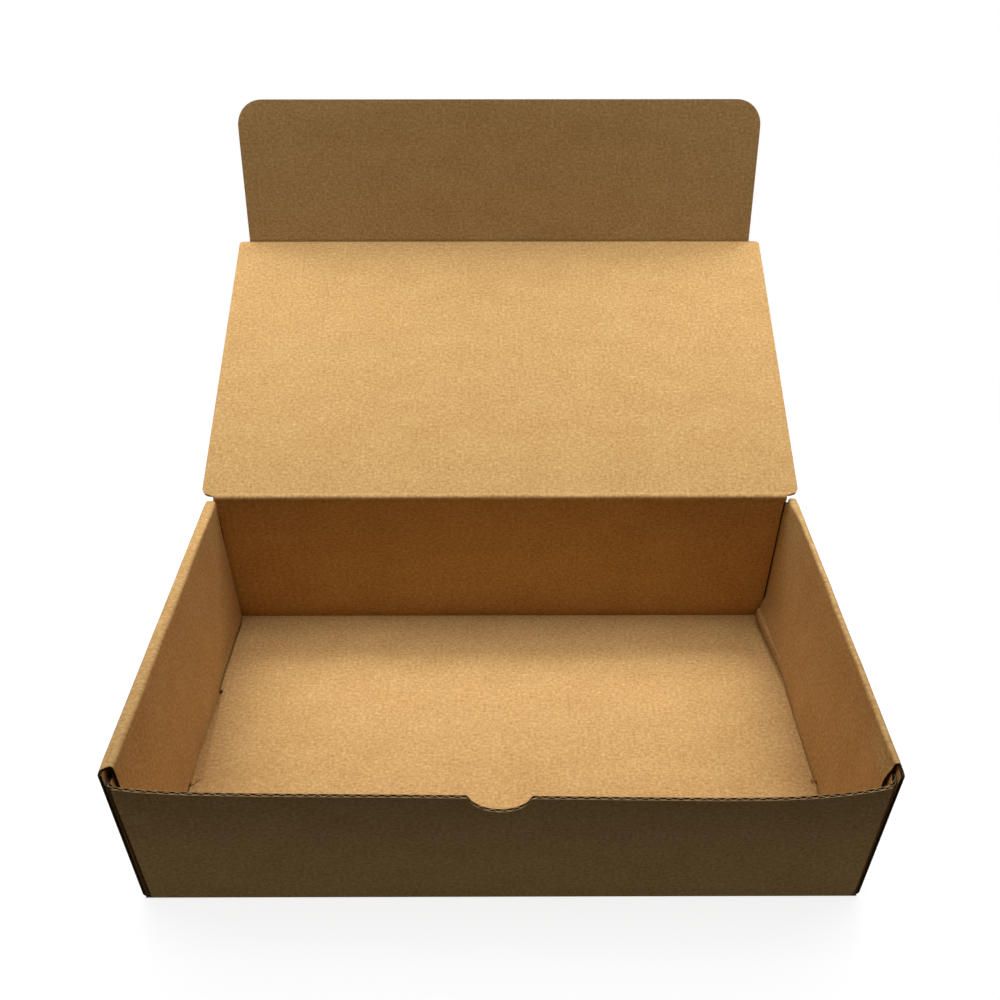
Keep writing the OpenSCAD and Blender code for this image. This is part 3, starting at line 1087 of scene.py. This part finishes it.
def paper(scene, name, tone, fibre, bump):
    """A paper finish: the kraft group on the piece's own sheet map, into a rough Principled shader."""
    settings = scene.mailer_finish
    material = bpy.data.materials.get(name)
    if material:
        return material
    material = bpy.data.materials.new(name)
    material.use_nodes = True
    tree = material.node_tree
    shader = tree.nodes["Principled BSDF"]
    shader.inputs["Roughness"].default_value = settings.roughness
    shader.inputs["Specular IOR Level"].default_value = 0.0
    sheet = put(tree, "ShaderNodeUVMap", uv_map="sheet")
    kraft = put(tree, "ShaderNodeGroup", node_tree=kraft_group(scene.mailer_board.flute_pitch))
    kraft.inputs["Colour"].default_value = (*tone, 1.0)
    kraft.inputs["Fibre"].default_value = fibre
    kraft.inputs["Grain"].default_value = settings.grain
    kraft.inputs["Mottle"].default_value = settings.mottle
    kraft.inputs["Specks"].default_value = settings.specks
    relief = put(tree, "ShaderNodeBump")
    relief.inputs["Strength"].default_value = bump
    relief.inputs["Distance"].default_value = 0.0001
    tree.links.new(sheet.outputs["UV"], kraft.inputs["Sheet"])
    tree.links.new(kraft.outputs["Colour"], shader.inputs["Base Color"])
    tree.links.new(kraft.outputs["Height"], relief.inputs["Height"])
    tree.links.new(relief.outputs["Normal"], shader.inputs["Normal"])
    return material


def finishes(scene):
    """The four finishes of a board, in the order LINER, EDGE, FLUTES_AND_SHADE, CUT."""
    settings = scene.mailer_finish
    return (
        paper(scene, "kraft_liner", settings.liner, settings.fibre, 0.35),
        paper(scene, "kraft_raw_edge", settings.edge, 0.1, 0.2),
        paper(scene, "kraft_fluting", settings.flutes, 0.1, 0.1),
        paper(scene, "kraft_cut_flutes", settings.cut, 0.1, 0.2),
    )


def white_to_camera(tree, seen, other):
    """Mixes two shaders: seen for camera, glossy and transmission rays, other for rays that light the
    box."""
    path = put(tree, "ShaderNodeLightPath")
    direct = maths(tree, "MAXIMUM", path.outputs["Is Camera Ray"], path.outputs["Is Glossy Ray"])
    direct = maths(tree, "MAXIMUM", direct, path.outputs["Is Transmission Ray"])
    mix = put(tree, "ShaderNodeMixShader")
    tree.links.new(direct, mix.inputs["Fac"])
    tree.links.new(other, mix.inputs[1])
    tree.links.new(seen, mix.inputs[2])
    return mix.outputs[0]


def build_floor(scene):
    """A wide level floor: to the camera it is white, with a soft shadow round the box that fades out
    with the distance, and under the tray it has no white glow, as painted shade. To the light that it throws
    back it is a dim grey."""
    stage = scene.mailer_stage
    reach = 4.0
    below_tray = 0.00005
    dark_margin = 0.0008
    fade_start = 0.16
    fade_end = 0.40
    mesh = bpy.data.meshes.new("floor")
    corners = reach * np.array([[-1, -1, 0], [1, -1, 0], [1, 1, 0], [-1, 1, 0]])
    corners[:, 2] = -below_tray
    mesh.from_pydata(corners, [], [[0, 1, 2, 3]])
    material = bpy.data.materials.new("white_floor")
    material.use_nodes = True
    tree = material.node_tree
    tree.nodes.remove(tree.nodes["Principled BSDF"])
    shade = put(tree, "ShaderNodeBsdfDiffuse")
    shade.inputs["Color"].default_value = (stage.shadow, stage.shadow, stage.shadow, 1.0)
    place = put(tree, "ShaderNodeTexCoord")
    axes = put(tree, "ShaderNodeSeparateXYZ")
    tree.links.new(place.outputs["Object"], axes.inputs[0])
    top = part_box("tray")[1]
    # Painted shade: the floor's white glow is left out under the tray, so gaps in the box show dark
    past_side = maths(tree, "GREATER_THAN", maths(tree, "ABSOLUTE", axes.outputs["X"]), top.x - dark_margin)
    past_end = maths(tree, "GREATER_THAN", maths(tree, "ABSOLUTE", axes.outputs["Y"]), top.y - dark_margin)
    open_floor = maths(tree, "MAXIMUM", past_side, past_end)
    glow = put(tree, "ShaderNodeEmission")
    tree.links.new(maths(tree, "MULTIPLY", open_floor, stage.glow), glow.inputs["Strength"])
    lit = put(tree, "ShaderNodeAddShader")
    tree.links.new(shade.outputs[0], lit.inputs[0])
    tree.links.new(glow.outputs[0], lit.inputs[1])
    distance = put(tree, "ShaderNodeVectorMath", operation="LENGTH")
    tree.links.new(place.outputs["Object"], distance.inputs[0])
    far = put(tree, "ShaderNodeMapRange", interpolation_type="SMOOTHSTEP")
    far.inputs["From Min"].default_value = fade_start
    far.inputs["From Max"].default_value = fade_end
    tree.links.new(distance.outputs["Value"], far.inputs["Value"])
    white = put(tree, "ShaderNodeEmission")
    seen = put(tree, "ShaderNodeMixShader")
    tree.links.new(far.outputs["Result"], seen.inputs["Fac"])
    tree.links.new(lit.outputs[0], seen.inputs[1])
    tree.links.new(white.outputs[0], seen.inputs[2])
    other = put(tree, "ShaderNodeBsdfDiffuse")
    other.inputs["Color"].default_value = (stage.bounce, stage.bounce, stage.bounce, 1.0)
    mixed = white_to_camera(tree, seen.outputs[0], other.outputs[0])
    tree.links.new(mixed, tree.nodes["Material Output"].inputs["Surface"])
    mesh.materials.append(material)
    floor = bpy.data.objects.new("floor", mesh)
    scene.collection.objects.link(floor)


def add_lamp(scene, name, power, size, place, aim, spread=math.pi):
    """Adds a rectangular light at a place, turned to the point aim, that shines into the angle spread."""
    lamp = bpy.data.lights.new(name, "AREA")
    lamp.energy = power
    lamp.shape = "RECTANGLE"
    lamp.size = size[0]
    lamp.size_y = size[1]
    lamp.spread = spread
    holder = bpy.data.objects.new(name, lamp)
    holder.location = place
    holder.rotation_euler = (Vector(aim) - Vector(place)).to_track_quat("-Z", "Y").to_euler()
    holder.visible_camera = False
    scene.collection.objects.link(holder)


def below(point):
    """The point on the ground straight below a point."""
    return (point[0], point[1], 0.0)


def build_light(scene):
    """Three pairs of lights left and right of the middle: high overhead, close above the box and narrow
    ones on the ends of the lid. Dim low cards stand in front and behind, and the camera sees white all
    round."""
    stage = scene.mailer_stage
    far_size = (stage.far_width, stage.far_depth)
    near_size = (stage.near_width, stage.near_depth)
    grid_size = (stage.grid_size, stage.grid_size)
    for name, side in (("left", -1), ("right", 1)):
        far, near, grid, aim = (
            (side * point[0], point[1], point[2])
            for point in (stage.far_place, stage.near_place, stage.grid_place, stage.grid_aim)
        )
        add_lamp(scene, "far_" + name, stage.far, far_size, far, below(far))
        add_lamp(scene, "near_" + name, stage.near, near_size, near, below(near))
        add_lamp(scene, "lid_" + name, stage.grid, grid_size, grid, aim, stage.grid_spread)
    card = tuple(stage.card_place)
    card_size = (stage.card_width, stage.card_height)
    add_lamp(scene, "front_card", stage.card, card_size, card, (card[0], 0, card[2]))
    rear = tuple(stage.rear_place)
    rear_size = (stage.rear_width, stage.rear_height)
    add_lamp(scene, "rear_card", stage.rear, rear_size, rear, (rear[0], 0, rear[2]))
    world = bpy.data.worlds.new("studio")
    world.use_nodes = True
    tree = world.node_tree
    seen = put(tree, "ShaderNodeBackground")
    seen.inputs["Color"].default_value = (1, 1, 1, 1)
    other = tree.nodes["Background"]
    other.inputs["Color"].default_value = (1, 1, 1, 1)
    other.inputs["Strength"].default_value = stage.ambient
    mixed = white_to_camera(tree, seen.outputs[0], other.outputs[0])
    tree.links.new(mixed, tree.nodes["World Output"].inputs["Surface"])
    scene.world = world


def build_camera(scene):
    """The camera at the photograph's viewing angle."""
    stage = scene.mailer_stage
    data = bpy.data.cameras.new("camera")
    data.lens = stage.lens
    data.sensor_width = 36.0
    data.clip_start = 0.01
    camera = bpy.data.objects.new("camera", data)
    camera.location = stage.camera
    camera.rotation_euler = (QUARTER - stage.pitch, 0, -stage.yaw)
    scene.collection.objects.link(camera)
    scene.camera = camera


class MAILER_OT_tray_sheet(bpy.types.Operator):
    """Builds the front wall, floor and back wall"""

    bl_idname = "mailer.tray_sheet"
    bl_label = "Front, Floor and Back"

    def execute(self, context):
        build_tray_sheet(context.scene)
        return {"FINISHED"}


class MAILER_OT_sides(bpy.types.Operator):
    """Builds the two rolled side walls with their lock tabs"""

    bl_idname = "mailer.sides"
    bl_label = "Rolled Sides"

    def execute(self, context):
        build_side(context.scene, -1, "rolled_side_left")
        build_side(context.scene, 1, "rolled_side_right")
        return {"FINISHED"}


class MAILER_OT_dust_flaps(bpy.types.Operator):
    """Builds the four dust flaps inside the rolled sides"""

    bl_idname = "mailer.dust_flaps"
    bl_label = "Dust Flaps"

    def execute(self, context):
        build_dust_flaps(context.scene)
        return {"FINISHED"}


class MAILER_OT_lid(bpy.types.Operator):
    """Builds the lid"""

    bl_idname = "mailer.lid"
    bl_label = "Lid"

    def execute(self, context):
        build_lid(context.scene)
        return {"FINISHED"}


class MAILER_OT_tuck_flap(bpy.types.Operator):
    """Builds the tuck flap"""

    bl_idname = "mailer.tuck_flap"
    bl_label = "Tuck Flap"

    def execute(self, context):
        build_tuck_flap(context.scene)
        return {"FINISHED"}


class MAILER_OT_creases(bpy.types.Operator):
    """Builds the two bent creases: back wall to lid, and lid to tuck flap"""

    bl_idname = "mailer.creases"
    bl_label = "Creases"

    def execute(self, context):
        build_creases(context.scene)
        return {"FINISHED"}


class MAILER_OT_stage(bpy.types.Operator):
    """Sets up the floor, the light and the camera"""

    bl_idname = "mailer.stage"
    bl_label = "Stage"

    def execute(self, context):
        scene = context.scene
        scene.view_settings.view_transform = "Standard"
        build_floor(scene)
        build_light(scene)
        build_camera(scene)
        return {"FINISHED"}


class MAILER_PT_panel(bpy.types.Panel):
    """Lists the pieces of the mailer box"""

    bl_idname = "MAILER_PT_panel"
    bl_label = "Mailer Box"
    bl_space_type = "VIEW_3D"
    bl_region_type = "UI"
    bl_category = "Mailer"

    def draw(self, context):
        for operator in OPERATORS:
            self.layout.operator(operator.bl_idname)
        for name, _ in SETTINGS:
            box = self.layout.box()
            group = getattr(context.scene, name)
            for key in group.__annotations__:
                box.prop(group, key)


SETTINGS = (
    ("mailer_board", MailerBoard),
    ("mailer_tray", MailerTray),
    ("mailer_lid", MailerLid),
    ("mailer_finish", MailerFinish),
    ("mailer_stage", MailerStage),
)
OPERATORS = (
    MAILER_OT_tray_sheet,
    MAILER_OT_sides,
    MAILER_OT_dust_flaps,
    MAILER_OT_lid,
    MAILER_OT_tuck_flap,
    MAILER_OT_creases,
    MAILER_OT_stage,
)


def register():
    """Registers the settings, the operators and the panel."""
    for name, group in SETTINGS:
        bpy.utils.register_class(group)
        setattr(bpy.types.Scene, name, PointerProperty(type=group))
    for operator in OPERATORS:
        bpy.utils.register_class(operator)
    bpy.utils.register_class(MAILER_PT_panel)


def unregister():
    """Removes what register added, in the opposite order."""
    bpy.utils.unregister_class(MAILER_PT_panel)
    for operator in reversed(OPERATORS):
        bpy.utils.unregister_class(operator)
    for name, group in reversed(SETTINGS):
        delattr(bpy.types.Scene, name)
        bpy.utils.unregister_class(group)


def main():
    register()
    bpy.ops.mailer.tray_sheet()
    bpy.ops.mailer.sides()
    bpy.ops.mailer.dust_flaps()
    bpy.ops.mailer.lid()
    bpy.ops.mailer.tuck_flap()
    bpy.ops.mailer.creases()
    bpy.ops.mailer.stage()


if __name__ == "__main__":
    main()
